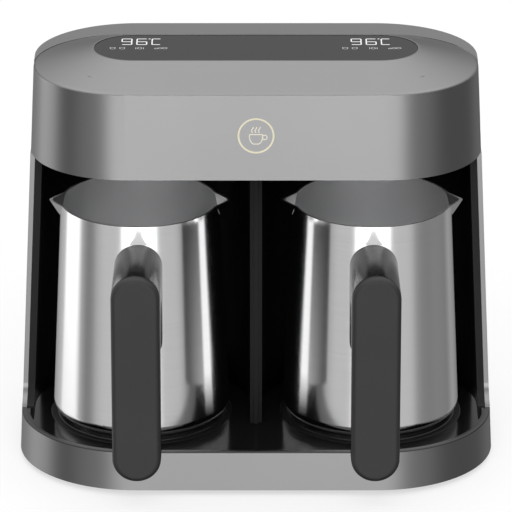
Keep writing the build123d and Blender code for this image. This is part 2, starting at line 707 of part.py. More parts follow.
grip_length = grip_top_z - grip_bottom
grip_middle_z = (grip_top_z + grip_bottom) / 2
root_back_reach = pot_rim_radius - root_sink
root_low_z = root_top_z - root_height
root_middle_z = root_top_z - root_height / 2 - (pot_rim_radius - root_back_reach) * tan(slope)
web_z = grip_top_z - grip_depth * tan(slope) - web_height
throat = grip_back_reach - throat_gap
throat_z = web_z - throat_gap * tan(slope)
root_foot = pot_radius(root_low_z) + web_inset
root_run = (throat - root_foot) / (throat_z - root_low_z)
gap_low_z = grip_bottom - handle_width
stud_end_reach = pot_radius(pot_top_z - stud_drop) + stud_length
screw_seat_reach = pad_reach - handle_screw_sink
thread_end_reach = stud_end_reach - thread_depth
for label, place in (("left", pot_places[0]), ("right", pot_places[1])):
    with BuildPart() as pot_body:
        with BuildSketch(reach_plane(place, 0)) as outer:
            with BuildLine():
                Polyline(
                    (0, cup_z),
                    (pot_radius(cup_z), cup_z),
                    (pot_rim_radius, pot_top_z),
                    (0, pot_top_z),
                    close=True,
                )
            make_face()
            fillet(outer.vertices().group_by(Axis.Y)[0].sort_by(Axis.X)[-1], pot_edge_radius)
        revolve(axis=Axis((place[0], place[1], 0), (0, 0, 1)))
        for side in (-1, 1):
            lip_wedge(place, side, 0.0, pot_top_z)
        inner_z = cup_z + pot_wall
        with BuildSketch(reach_plane(place, 0)) as inner:
            with BuildLine():
                Polyline(
                    (0, inner_z),
                    (pot_radius(inner_z) - pot_wall, inner_z),
                    (pot_rim_radius - pot_wall, pot_top_z),
                    (0, pot_top_z),
                    close=True,
                )
            make_face()
            fillet(inner.vertices().group_by(Axis.Y)[0].sort_by(Axis.X)[-1], pot_edge_radius - pot_wall)
        revolve(axis=Axis((place[0], place[1], 0), (0, 0, 1)), mode=Mode.SUBTRACT)
        for side in (-1, 1):
            lip_wedge(place, side, lip_wall, pot_top_z + over, mode=Mode.SUBTRACT)
    finish(pot_body.part, f"{label}_pot_body")

    with BuildPart() as pot_base_disc:
        discs([place], base_disc_radius, plate_z, cup_z)
        chamfer(pot_base_disc.edges().group_by(Axis.Z)[0], disc_chamfer)
    finish(pot_base_disc.part, f"{label}_pot_base_disc")

    with BuildPart() as handle_bracket:
        saddle(place, 0.0)
        neck_bar(place, stud_radius, pot_rim_radius, stud_end_reach)
        neck_bar(place, handle_screw_radius, thread_end_reach, stud_end_reach + over, mode=Mode.SUBTRACT)
        pot_cone(place, 0.0, cup_z, pot_top_z, mode=Mode.SUBTRACT)
    finish(handle_bracket.part, f"{label}_handle_bracket")

    with BuildPart() as handle_frame:
        with BuildSketch(reach_plane(place, pad_reach)) as grip_end:
            with Locations((0, grip_middle_z)):
                SlotOverall(grip_length, handle_width, rotation=90)
        extrude(grip_end.sketch, amount=(grip_depth + web_corner) / cos(slope), dir=neck_backward)
        with BuildSketch(reach_plane(place, root_back_reach)) as root_end:
            with Locations((0, root_middle_z)):
                SlotOverall(root_height, handle_width, rotation=90)
        extrude(root_end.sketch, amount=(pad_reach - root_back_reach) / cos(slope), dir=neck_forward)
        # finger gap: up the back of the grip, along the neck and down the root
        gap_plane = Plane(origin=(place[0], place[1], 0), x_dir=(0, -1, 0), z_dir=(-1, 0, 0))
        gap_start = (grip_back_reach, gap_low_z)
        gap_end = (root_foot - (root_low_z - gap_low_z) * root_run, gap_low_z)
        with BuildSketch(gap_plane) as gap:
            with BuildLine():
                FilletPolyline(
                    gap_start,
                    (grip_back_reach, web_z),
                    (throat, throat_z),
                    gap_end,
                    radius=(web_corner, throat_corner),
                )
                Line(gap_end, gap_start)
            make_face()
        extrude(gap.sketch, amount=handle_width, both=True, mode=Mode.SUBTRACT)
        finger_edges = handle_frame.edges(Select.LAST).filter_by(Axis.X, reverse=True)
        fillet(finger_edges, grip_rounding)
        chamfer(handle_frame.edges().group_by(Axis.Y)[0], pad_groove)
        pot_cone(place, -press_fit, cup_z, pot_top_z, mode=Mode.SUBTRACT)
        saddle(place, fit, mode=Mode.SUBTRACT)
        neck_bar(place, stud_radius + fit, pot_rim_radius, stud_end_reach + fit, mode=Mode.SUBTRACT)
        neck_bar(place, handle_screw_radius + fit, pot_rim_radius, pad_reach, mode=Mode.SUBTRACT)
        neck_bar(place, 2 * handle_screw_radius + fit, screw_seat_reach, pad_reach + over, mode=Mode.SUBTRACT)
    finish(handle_frame.part, f"{label}_handle_frame")

    with BuildPart() as handle_pad:
        with BuildSketch(reach_plane(place, pad_reach)) as pad_back:
            with Locations((0, grip_middle_z)):
                SlotOverall(grip_length, handle_width, rotation=90)
        extrude(pad_back.sketch, amount=pad_depth / cos(slope), dir=neck_forward)
        fillet(handle_pad.edges().group_by(Axis.Y)[0], pad_rounding)
        chamfer(handle_pad.edges().group_by(Axis.Y)[-1], pad_groove)
    finish(handle_pad.part, f"{label}_handle_pad")

    with BuildPart() as handle_screw:
        neck_bar(place, handle_screw_radius, thread_end_reach + thread_gap, screw_seat_reach)
        neck_bar(place, 2 * handle_screw_radius, screw_seat_reach, screw_seat_reach + handle_screw_head)
    finish(handle_screw.part, f"{label}_handle_screw")
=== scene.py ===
from math import cos, pi, radians, sin

import bpy
from mathutils import Matrix, Vector


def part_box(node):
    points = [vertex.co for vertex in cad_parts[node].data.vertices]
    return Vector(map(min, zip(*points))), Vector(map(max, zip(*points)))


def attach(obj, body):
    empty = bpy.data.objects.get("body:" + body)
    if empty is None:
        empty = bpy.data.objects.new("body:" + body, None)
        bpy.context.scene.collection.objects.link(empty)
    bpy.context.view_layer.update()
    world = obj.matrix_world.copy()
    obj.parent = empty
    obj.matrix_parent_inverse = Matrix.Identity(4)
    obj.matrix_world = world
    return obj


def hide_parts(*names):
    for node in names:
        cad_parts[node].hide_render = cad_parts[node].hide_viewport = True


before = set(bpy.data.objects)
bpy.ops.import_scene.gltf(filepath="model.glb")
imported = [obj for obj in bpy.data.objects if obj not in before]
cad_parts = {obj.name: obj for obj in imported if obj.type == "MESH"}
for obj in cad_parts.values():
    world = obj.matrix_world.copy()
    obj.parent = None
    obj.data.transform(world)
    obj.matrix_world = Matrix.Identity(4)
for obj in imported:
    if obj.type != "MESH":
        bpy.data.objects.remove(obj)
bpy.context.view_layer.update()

mm = 0.001
tiny = 0.01 * mm  # places nearer than this are the same
print("frame loaded:", len(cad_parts), "nodes")


# small helpers for objects

def clearSelection():
    if bpy.context.object and bpy.context.object.mode != "OBJECT":
        bpy.ops.object.mode_set(mode="OBJECT")
    bpy.ops.object.select_all(action="DESELECT")


def makeActive(piece):
    clearSelection()
    piece.select_set(True)
    bpy.context.view_layer.objects.active = piece


def selectWhere(mesh, kind, test):
    # in edit mode, selects only the vertices, edges or faces that pass the test
    bpy.ops.mesh.select_all(action="DESELECT")
    bpy.ops.mesh.select_mode(type=kind)
    bpy.ops.object.mode_set(mode="OBJECT")
    for part in {"VERT": mesh.vertices, "EDGE": mesh.edges, "FACE": mesh.polygons}[kind]:
        part.select = test(part)
    bpy.ops.object.mode_set(mode="EDIT")


def copyPlaced(source, place):
    # a copy with its own mesh, moved by changing the mesh
    copy = source.copy()
    copy.data = source.data.copy()
    copy.data.transform(place)
    bpy.context.scene.collection.objects.link(copy)
    return copy


def joinPieces(pieces, name):
    clearSelection()
    for piece in pieces:
        piece.select_set(True)
    bpy.context.view_layer.objects.active = pieces[0]
    bpy.ops.object.join()
    joined = bpy.context.object
    joined.name = name
    joined.data.name = name
    return joined


def applyPlace(piece):
    makeActive(piece)
    bpy.ops.object.transform_apply(location=True, rotation=True, scale=True)


def discard(pieces):
    for piece in pieces:
        bpy.data.objects.remove(piece)


# small helpers for materials

def addNode(tree, kind, **settings):
    node = tree.nodes.new(kind)
    for key, value in settings.items():
        setattr(node, key, value)
    return node


def feed(tree, socket, value):
    # value is the output of another node, or a plain setting
    if isinstance(value, bpy.types.NodeSocket):
        tree.links.new(value, socket)
    else:
        socket.default_value = value


def setInputs(tree, node, **values):
    for key, value in values.items():
        feed(tree, node.inputs[key.replace("_", " ")], value)
    return node


def asColour(tone):
    # a plain number is a grey
    return (tone, tone, tone, 1) if isinstance(tone, float) else (*tone, 1)


def addMath(tree, operation, first, second=0.0):
    node = addNode(tree, "ShaderNodeMath", operation=operation)
    feed(tree, node.inputs[0], first)
    feed(tree, node.inputs[1], second)
    return node.outputs[0]


def addMapped(tree, value, start, end, low=0.0, high=1.0, smooth=False):
    # goes from low to high as value goes from start to end
    spread = addNode(tree, "ShaderNodeMapRange", interpolation_type="SMOOTHSTEP" if smooth else "LINEAR")
    setInputs(tree, spread, Value=value, From_Min=start, From_Max=end, To_Min=low, To_Max=high)
    return spread.outputs["Result"]


def addTint(tree, value, dark, light):
    # colour between two tones by a 0 to 1 value
    ramp = addNode(tree, "ShaderNodeValToRGB")
    ramp.color_ramp.elements[0].color = asColour(dark)
    ramp.color_ramp.elements[1].color = asColour(light)
    tree.links.new(value, ramp.inputs["Fac"])
    return ramp.outputs["Color"]


def addMix(tree, kind, factor, first, second):
    # the Mix node keeps the sockets of its kinds side by side
    start, result = {"FLOAT": (2, 0), "RGBA": (6, 2)}[kind]
    mix = addNode(tree, "ShaderNodeMix", data_type=kind)
    feed(tree, mix.inputs["Factor"], factor)
    feed(tree, mix.inputs[start], first)
    feed(tree, mix.inputs[start + 1], second)
    return mix.outputs[result]


def addShaderMix(tree, factor, first, second):
    mix = addNode(tree, "ShaderNodeMixShader")
    for socket, value in zip(mix.inputs, (factor, first, second)):
        tree.links.new(value, socket)
    return mix.outputs[0]


def splitAxes(tree, vector):
    split = addNode(tree, "ShaderNodeSeparateXYZ")
    tree.links.new(vector, split.inputs[0])
    return split.outputs


def addAxisDistance(tree, axes, nodeName):
    # distance from the upright axis of a round node on the right, or of its mirror image on the left
    low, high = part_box(nodeName)
    flat = addNode(tree, "ShaderNodeCombineXYZ")
    setInputs(tree, flat, X=addMath(tree, "ABSOLUTE", axes["X"]), Y=axes["Y"])
    apart = addNode(tree, "ShaderNodeVectorMath", operation="DISTANCE")
    tree.links.new(flat.outputs[0], apart.inputs[0])
    apart.inputs[1].default_value = ((low.x + high.x) / 2, (low.y + high.y) / 2, 0)
    return apart.outputs["Value"]


def addBump(tree, shader, height, strength, distance):
    bump = addNode(tree, "ShaderNodeBump")
    setInputs(tree, bump, Height=height, Strength=strength, Distance=distance)
    tree.links.new(bump.outputs["Normal"], shader.inputs["Normal"])


def startMaterial(name, **shaderValues):
    material = bpy.data.materials.new(name)
    material.use_nodes = True
    tree = material.node_tree
    shader = setInputs(tree, tree.nodes["Principled BSDF"], **shaderValues)
    coords = addNode(tree, "ShaderNodeTexCoord")
    return material, tree, shader, coords.outputs["Object"]


def startBareMaterial(name):
    # nothing but the output, for what stands round the object
    material = bpy.data.materials.new(name)
    material.use_nodes = True
    tree = material.node_tree
    tree.nodes.clear()
    return material, tree, addNode(tree, "ShaderNodeOutputMaterial")


def placeGroup(tree, group, coords, **values):
    node = addNode(tree, "ShaderNodeGroup", node_tree=group)
    return setInputs(tree, node, Coordinates=coords, **values)


# shared effects

def startGroup(name, inputs, outputs):
    group = bpy.data.node_groups.new(name, "ShaderNodeTree")
    group.interface.new_socket("Coordinates", in_out="INPUT", socket_type="NodeSocketVector")
    for key, value in inputs.items():
        socket = group.interface.new_socket(key, in_out="INPUT", socket_type="NodeSocketFloat")
        socket.default_value = value
    for key in outputs:
        group.interface.new_socket(key, in_out="OUTPUT", socket_type="NodeSocketFloat")
    return group, addNode(group, "NodeGroupInput").outputs, addNode(group, "NodeGroupOutput").inputs


def makeGrainGroup():
    # fine moulded texture and slow patches in it
    scales = {"Grain Scale": 900.0, "Patch Scale": 14.0}
    group, source, result = startGroup("mouldedGrain", scales, ["Grain", "Patch"])
    for key, detail, roughness in (("Grain", 4.0, 0.65), ("Patch", 3.0, 0.55)):
        noise = addNode(group, "ShaderNodeTexNoise")
        setInputs(group, noise, Vector=source["Coordinates"], Scale=source[key + " Scale"])
        setInputs(group, noise, Detail=detail, Roughness=roughness)
        group.links.new(noise.outputs["Fac"], result[key])
    return group


def makeBrushGroup():
    # long fine lines around an upright form, and a broader change of tone along them
    scales = {"Line Scale": 4200.0, "Along Scale": 26.0}
    broader = (0.5, 0.5, 0.06)
    group, source, result = startGroup("brushedLines", scales, ["Line", "Tone"])
    axes = splitAxes(group, source["Coordinates"])
    stretched = addNode(group, "ShaderNodeCombineXYZ")
    for axis, scale in (("X", "Along Scale"), ("Y", "Along Scale"), ("Z", "Line Scale")):
        group.links.new(addMath(group, "MULTIPLY", axes[axis], source[scale]), stretched.inputs[axis])
    line = addNode(group, "ShaderNodeTexNoise")
    setInputs(group, line, Vector=stretched.outputs[0], Scale=1.0, Detail=3.0, Roughness=0.6)
    broad = addNode(group, "ShaderNodeVectorMath", operation="MULTIPLY")
    group.links.new(stretched.outputs[0], broad.inputs[0])
    broad.inputs[1].default_value = broader
    tone = addNode(group, "ShaderNodeTexNoise")
    setInputs(group, tone, Vector=broad.outputs[0], Scale=1.0, Detail=2.0, Roughness=0.5)
    group.links.new(line.outputs["Fac"], result["Line"])
    group.links.new(tone.outputs["Fac"], result["Tone"])
    return group


def makeSmudgeGroup():
    # soft wiped marks and sparse dust specks
    scales = {"Wipe Scale": 22.0, "Speck Scale": 420.0}
    slant = {"Rotation": (0.0, 0.0, 0.5), "Scale": (1.0, 2.6, 1.0)}
    speckEdge = (0.05, 0.12)  # whole up to the first distance, gone beyond the second
    group, source, result = startGroup("wipeMarks", scales, ["Wipe", "Speck"])
    turned = addNode(group, "ShaderNodeMapping")
    setInputs(group, turned, Vector=source["Coordinates"], **slant)
    wipe = addNode(group, "ShaderNodeTexNoise")
    setInputs(group, wipe, Vector=turned.outputs[0], Scale=source["Wipe Scale"])
    setInputs(group, wipe, Detail=5.0, Roughness=0.6, Distortion=0.4)
    speck = addNode(group, "ShaderNodeTexVoronoi")
    setInputs(group, speck, Vector=source["Coordinates"], Scale=source["Speck Scale"])
    group.links.new(wipe.outputs["Fac"], result["Wipe"])
    group.links.new(addMapped(group, speck.outputs["Distance"], *speckEdge, 1.0, 0.0), result["Speck"])
    return group


grainGroup = makeGrainGroup()
brushGroup = makeBrushGroup()
smudgeGroup = makeSmudgeGroup()
print("shared effects made")


# finishes of the coffee maker

housingPaint = {
    "dark": (0.196, 0.196, 0.197),
    "light": (0.216, 0.216, 0.217),
    "roughness": (0.31, 0.36),
    "grainScale": 1500.0,
    "grainDepth": 0.10,
    "grainHeight": 0.04 * mm,
    "patchScale": 9.0,
    "wipeScale": 16.0,
    "rimShadeShare": 0.25,  # of that tone on top of the base rim, a painted shade
    "rimLow": 22.7 * mm,
    "rimFade": 0.2 * mm,
    "rimHigh": 23.75 * mm,
    # painted highlight along the edge where the front wall of the head turns into the bevel: the tone is this
    # many times brighter there
    "shoulderHighlight": 1.3,
    "shoulderZ": 202.45 * mm,  # where the front wall of the head turns into the bevel
    "shoulderFade": (0.15 * mm, 0.45 * mm),
}


def makeHousingPaint():
    # satin metallic paint over the moulding, with painted shade on top of the base rim and a painted
    # highlight along the head's shoulder
    paint = housingPaint
    material, tree, shader, coords = startMaterial("housingPaint", Metallic=1.0)
    grain = placeGroup(
        tree, grainGroup, coords, Grain_Scale=paint["grainScale"], Patch_Scale=paint["patchScale"]
    )
    smudge = placeGroup(tree, smudgeGroup, coords, Wipe_Scale=paint["wipeScale"])
    z = splitAxes(tree, coords)["Z"]
    # painted shade: the paint on the flat top of the base rim, between the rim heights, is darkened to that
    # share
    shadedRim = addMapped(tree, z, paint["rimLow"], paint["rimLow"] + paint["rimFade"], 1.0, paint["rimShadeShare"])
    share = addMath(tree, "MAXIMUM", shadedRim, addMath(tree, "GREATER_THAN", z, paint["rimHigh"]))
    tone = addTint(tree, grain.outputs["Patch"], paint["dark"], paint["light"])
    # painted highlight: the tone is brightened in a thin band at the head's shoulder
    aside = addMath(tree, "ABSOLUTE", addMath(tree, "SUBTRACT", z, paint["shoulderZ"]))
    highlighted = addNode(tree, "ShaderNodeVectorMath", operation="SCALE")
    setInputs(
        tree, highlighted,
        Vector=addMix(tree, "RGBA", share, asColour(0.0), tone),
        Scale=addMapped(tree, aside, *paint["shoulderFade"], paint["shoulderHighlight"], 1.0),
    )
    gloss = addMapped(tree, smudge.outputs["Wipe"], 0.0, 1.0, *paint["roughness"])
    setInputs(tree, shader, Base_Color=highlighted.outputs[0], Roughness=gloss)
    addBump(tree, shader, grain.outputs["Grain"], paint["grainDepth"], paint["grainHeight"])
    return material


steelPots = {
    "dark": (0.70, 0.70, 0.705),
    "light": (0.78, 0.78, 0.783),
    "roughness": (0.13, 0.19),
    "inside": (0.78, 0.78, 0.785),
    "insideRoughness": 0.40,
    "taper": 4.9 * mm,  # foot radius less rim radius
    "wall": 1.0 * mm,
    "wallFade": (0.4, 0.7),  # shares of that wall, from outside, where the outer finish turns into the inner
    "lipHeight": 12.0 * mm,
    "lipTilt": 0.15,  # a face of a lip that looks up by more than this is its inner side
    "lineScale": 2600.0,
    "alongScale": 10.0,
    "lineDepth": 0.12,
    "lineHeight": 0.03 * mm,
}


def addPotInside(tree, coords):
    # 1 on the inner wall and floor of either pot and on the upper faces of its lips, 0 outside
    low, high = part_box("right_pot_body")
    wall = steelPots["wall"]
    footRadius = (high.y - low.y) / 2
    axes = splitAxes(tree, coords)
    outer = addMapped(tree, axes["Z"], low.z, high.z, footRadius, footRadius - steelPots["taper"])
    depth = addMath(tree, "SUBTRACT", outer, addAxisDistance(tree, axes, "right_pot_base_disc"))
    aboveFloor = addMath(tree, "GREATER_THAN", axes["Z"], low.z + wall / 2)
    within = addMapped(tree, depth, *(wall * share for share in steelPots["wallFade"]))
    inside = addMath(tree, "MULTIPLY", within, aboveFloor)
    facing = splitAxes(tree, coords.node.outputs["Normal"])
    upward = addMath(tree, "GREATER_THAN", facing["Z"], steelPots["lipTilt"])
    nearRim = addMath(tree, "GREATER_THAN", axes["Z"], high.z - steelPots["lipHeight"])
    return addMath(tree, "MAXIMUM", inside, addMath(tree, "MULTIPLY", upward, nearRim))


def makePotSteel():
    # stainless steel with lathe lines around the pot, satin inside
    steel = steelPots
    material, tree, shader, coords = startMaterial("potSteel", Metallic=1.0)
    inside = addPotInside(tree, coords)
    brush = placeGroup(
        tree, brushGroup, coords, Line_Scale=steel["lineScale"], Along_Scale=steel["alongScale"]
    )
    tone = addTint(tree, brush.outputs["Line"], steel["dark"], steel["light"])
    gloss = addMapped(tree, brush.outputs["Tone"], 0.0, 1.0, *steel["roughness"])
    setInputs(
        tree, shader,
        Base_Color=addMix(tree, "RGBA", inside, tone, asColour(steel["inside"])),
        Roughness=addMix(tree, "FLOAT", inside, gloss, steel["insideRoughness"]),
    )
    addBump(tree, shader, brush.outputs["Line"], steel["lineDepth"], steel["lineHeight"])
    return material


plasticLook = {"patchScale": 18.0, "wipeScale": 24.0, "grainHeight": 0.05 * mm}


def startPlastic(name, roughness, grainScale, depth, specular):
    # moulded plastic before its colour: fine grain, wiped gloss
    material, tree, shader, coords = startMaterial(name, Specular_IOR_Level=specular)
    grain = placeGroup(
        tree, grainGroup, coords, Grain_Scale=grainScale, Patch_Scale=plasticLook["patchScale"]
    )
    smudge = placeGroup(tree, smudgeGroup, coords, Wipe_Scale=plasticLook["wipeScale"])
    setInputs(tree, shader, Roughness=addMapped(tree, smudge.outputs["Wipe"], 0.0, 1.0, *roughness))
    addBump(tree, shader, grain.outputs["Grain"], depth, plasticLook["grainHeight"])
    return material, tree, shader, coords, grain.outputs["Patch"]


def makePlastic(name, dark, light, roughness, grainScale, depth, specular=0.5):
    material, tree, shader, coords, patch = startPlastic(name, roughness, grainScale, depth, specular)
    setInputs(tree, shader, Base_Color=addTint(tree, patch, dark, light))
    return material


linerBlack = {
    "deep": 0.0015,
    "front": 0.026,
    "frontEdge": 6.5 * mm,  # rib and side bands forward of this are painted lighter, a painted sheen; further in the bays are painted near black, a painted shade
    "frontFade": 1.0 * mm,
    "roughness": (0.34, 0.44),
    "grainScale": 800.0,
    "depth": 0.08,
    "specular": 0.03,
}


def makeLiner():
    # black bays: painted shade makes them near black deep in, and a painted sheen lightens their front edges
    liner = linerBlack
    material, tree, shader, coords, patch = startPlastic(
        "linerBlack", liner["roughness"], liner["grainScale"], liner["depth"], liner["specular"]
    )
    edge = liner["frontEdge"]
    # base colour lighter at the front as a painted sheen, near black deeper in as painted shade
    frontSheen = addMapped(tree, splitAxes(tree, coords)["Y"], edge, edge + liner["frontFade"], 1.0, 0.0)
    setInputs(tree, shader, Base_Color=addTint(tree, frontSheen, liner["deep"], liner["front"]))
    return material


# painted shade in the groove between the pad and the frame
grooveShade = {
    "tone": 0.0015,
    "halfWidth": 0.9 * mm,
    "soft": 0.8,  # share of that half width from which it fades out
}


def makeHandlePlastic(name, dark, light, roughness, grainScale, depth, specular=0.5):
    # moulded plastic with painted shade in the groove where the pad meets the frame
    material, tree, shader, coords, patch = startPlastic(name, roughness, grainScale, depth, specular)
    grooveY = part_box("right_handle_pad")[1].y
    halfWidth = grooveShade["halfWidth"]
    # painted shade: the base colour goes dark near the groove
    away = addMath(tree, "ABSOLUTE", addMath(tree, "SUBTRACT", splitAxes(tree, coords)["Y"], grooveY))
    clear = addMapped(tree, away, halfWidth * grooveShade["soft"], halfWidth)
    tone = addTint(tree, patch, dark, light)
    setInputs(tree, shader, Base_Color=addMix(tree, "RGBA", clear, asColour(grooveShade["tone"]), tone))
    return material


metalLook = {"alongScale": 60.0, "lineDepth": 0.15, "lineHeight": 0.04 * mm}


def makeMetal(name, dark, light, roughness, lineScale):
    # bare metal with fine lines
    material, tree, shader, coords = startMaterial(name, Metallic=1.0)
    brush = placeGroup(
        tree, brushGroup, coords, Line_Scale=lineScale, Along_Scale=metalLook["alongScale"]
    )
    setInputs(
        tree, shader,
        Base_Color=addTint(tree, brush.outputs["Tone"], dark, light),
        Roughness=addMapped(tree, brush.outputs["Line"], 0.0, 1.0, *roughness),
    )
    addBump(tree, shader, brush.outputs["Line"], metalLook["lineDepth"], metalLook["lineHeight"])
    return material


touchGlass = {
    "tone": (0.012, 0.012, 0.0125),
    "speckTone": 0.03,
    "roughness": (0.04, 0.10),
    "ior": 1.52,
    "specular": 0.135,
    "wipeScale": 30.0,
    "speckScale": 260.0,
}


def makeTouchGlass():
    # smoked glass, black from behind
    glass = touchGlass
    material, tree, shader, coords = startMaterial(
        "smokedGlass", IOR=glass["ior"], Specular_IOR_Level=glass["specular"]
    )
    smudge = placeGroup(
        tree, smudgeGroup, coords, Wipe_Scale=glass["wipeScale"], Speck_Scale=glass["speckScale"]
    )
    setInputs(
        tree, shader,
        Base_Color=addTint(tree, smudge.outputs["Speck"], glass["tone"], glass["speckTone"]),
        Roughness=addMapped(tree, smudge.outputs["Wipe"], 0.0, 1.0, *glass["roughness"]),
    )
    return material


glowLook = {"unlit": 0.05, "roughness": 0.4, "strength": 1.0, "patchScale": 160.0}


def makeGlow(name, dim, bright):
    # lit mark: even light with a slight change along it
    glow = glowLook
    material, tree, shader, coords = startMaterial(name, Roughness=glow["roughness"])
    setInputs(tree, shader, Base_Color=asColour(glow["unlit"]), Emission_Strength=glow["strength"])
    grain = placeGroup(tree, grainGroup, coords, Patch_Scale=glow["patchScale"])
    setInputs(tree, shader, Emission_Color=addTint(tree, grain.outputs["Patch"], dim, bright))
    return material


circuitBoards = {
    "dark": (0.010, 0.045, 0.020),
    "light": (0.016, 0.070, 0.032),
    "roughness": 0.35,
    "grainScale": 300.0,
    "grainDepth": 0.2,
    "grainHeight": 0.1 * mm,
    "patchScale": 140.0,
}


def makeBoard():
    # coated circuit board
    board = circuitBoards
    material, tree, shader, coords = startMaterial("boardGreen", Roughness=board["roughness"])
    grain = placeGroup(
        tree, grainGroup, coords, Grain_Scale=board["grainScale"], Patch_Scale=board["patchScale"]
    )
    setInputs(tree, shader, Base_Color=addTint(tree, grain.outputs["Patch"], board["dark"], board["light"]))
    addBump(tree, shader, grain.outputs["Grain"], board["grainDepth"], board["grainHeight"])
    return material


warmingPlates = {
    "dark": (0.012, 0.012, 0.0125),
    "light": (0.020, 0.020, 0.0205),
    "roughness": (0.30, 0.42),
    "metallic": 0.6,
    "ringsPerMetre": 1400.0,
    "ringDepth": 0.25,
    "ringHeight": 0.06 * mm,
}


def makePlateCoat():
    # dark coating over lathe-turned plates, rings centred on each plate
    plates = warmingPlates
    material, tree, shader, coords = startMaterial("plateCoat", Metallic=plates["metallic"])
    radius = addAxisDistance(tree, splitAxes(tree, coords), "right_heater_plate")
    rings = addNode(tree, "ShaderNodeTexNoise", noise_dimensions="1D")
    setInputs(tree, rings, W=radius, Scale=plates["ringsPerMetre"], Detail=2.0)
    setInputs(
        tree, shader,
        Base_Color=addTint(tree, rings.outputs["Fac"], plates["dark"], plates["light"]),
        Roughness=addMapped(tree, rings.outputs["Fac"], 0.0, 1.0, *plates["roughness"]),
    )
    addBump(tree, shader, rings.outputs["Fac"], plates["ringDepth"], plates["ringHeight"])
    return material


finishes = {
    "housing": makeHousingPaint(),
    "tray": makePlastic(
        "trayGloss", dark=0.006, light=0.010, roughness=(0.10, 0.16), grainScale=600.0, depth=0.03,
        specular=0.15,
    ),
    "liner": makeLiner(),
    "inner_plastic": makePlastic(
        "innerBlack", dark=0.010, light=0.016, roughness=(0.45, 0.60), grainScale=500.0, depth=0.20
    ),
    "gland": makePlastic(
        "glandRubber", dark=0.010, light=0.018, roughness=(0.50, 0.65), grainScale=700.0, depth=0.25
    ),
    "feet": makePlastic(
        "footRubber", dark=0.012, light=0.022, roughness=(0.65, 0.80), grainScale=500.0, depth=0.35
    ),
    "screw_steel": makeMetal(
        "screwSteel", dark=(0.42, 0.42, 0.43), light=(0.52, 0.52, 0.53), roughness=(0.25, 0.40),
        lineScale=900.0,
    ),
    "touch_glass": makeTouchGlass(),
    "display": makePlastic(
        "displayBlack", dark=(0.010, 0.010, 0.012), light=(0.016, 0.016, 0.018), roughness=(0.25, 0.35),
        grainScale=300.0, depth=0.05,
    ),
    "board": makeBoard(),
    "parts_black": makePlastic(
        "partsBlack", dark=0.010, light=0.020, roughness=(0.35, 0.50), grainScale=600.0, depth=0.15
    ),
    "transformer": makePlastic(
        "coilTape", dark=(0.45, 0.33, 0.06), light=(0.55, 0.42, 0.10), roughness=(0.40, 0.55),
        grainScale=400.0, depth=0.20,
    ),
    "light_ring": makeGlow("ringGlow", dim=(0.60, 0.55, 0.38), bright=(0.72, 0.68, 0.50)),
    "plate": makePlateCoat(),
    "seal": makePlastic(
        "sealRubber", dark=0.004, light=0.007, roughness=(0.50, 0.65), grainScale=900.0, depth=0.20,
        specular=0.15,
    ),
    "heater": makePlastic(
        "micaSheet", dark=(0.30, 0.24, 0.16), light=(0.42, 0.35, 0.25), roughness=(0.45, 0.60),
        grainScale=250.0, depth=0.25,
    ),
    "clamp": makeMetal("clampSteel", dark=0.45, light=0.56, roughness=(0.28, 0.42), lineScale=700.0),
    "sensor": makeMetal("sensorSteel", dark=0.50, light=0.62, roughness=(0.20, 0.32), lineScale=1200.0),
    "pot_steel": makePotSteel(),
    "bracket": makeMetal("bracketSteel", dark=0.48, light=0.60, roughness=(0.24, 0.36), lineScale=1500.0),
    "handle_gloss": makeHandlePlastic(
        "handleGloss", dark=0.006, light=0.009, roughness=(0.13, 0.18), grainScale=700.0, depth=0.03,
        specular=0.20,
    ),
    "handle_matte": makeHandlePlastic(
        "handleMatte", dark=0.011, light=0.015, roughness=(0.50, 0.60), grainScale=1300.0, depth=0.30
    ),
}
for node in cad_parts.values():
    for place in node.material_slots:
        place.material = finishes[place.material.name]
print("finishes given:", len(finishes))

# the bright steel shows the studio and its cards, not what stands close round the pots
outOfReflections = (
    "bay_liner", "rear_housing", "head_shell", "head_underplate", "left_boil_sensor", "right_boil_sensor",
    "left_handle_frame", "right_handle_frame", "left_handle_pad", "right_handle_pad",
    "base_shell", "base_tray", "left_heater_seal", "right_heater_seal",
)
for name in outOfReflections:
    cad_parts[name].visible_glossy = False


# read-outs on the glass

readout = {
    "digits": ("96", "C"),
    "digitWidth": 5.5 * mm,
    "unitWidth": 4.8 * mm,
    "digitHeight": 9.6 * mm,
    "digitGap": 2.0 * mm,
    "unitGap": 2.1 * mm,
    "stroke": 0.62 * mm,
    "segmentGap": 0.12 * mm,
    "thickness": 0.08 * mm,
    "shift": {"left": 0.5 * mm, "right": -0.6 * mm},
    "degreeWidth": 1.4 * mm,
}
segmentsOf = {"9": "abcdfg", "6": "acdefg", "C": "adef"}
whiteGlow = makeGlow("readoutGlow", dim=(0.80, 0.81, 0.82), bright=(0.94, 0.94, 0.94))
glassLow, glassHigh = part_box("touch_glass")
glassMiddle = (glassLow + glassHigh) / 2
markZ = glassHigh.z + tiny


def isAcross(mesh, edge):
    first, second = (mesh.vertices[i].co for i in edge.vertices)
    return abs(first.x - second.x) < tiny


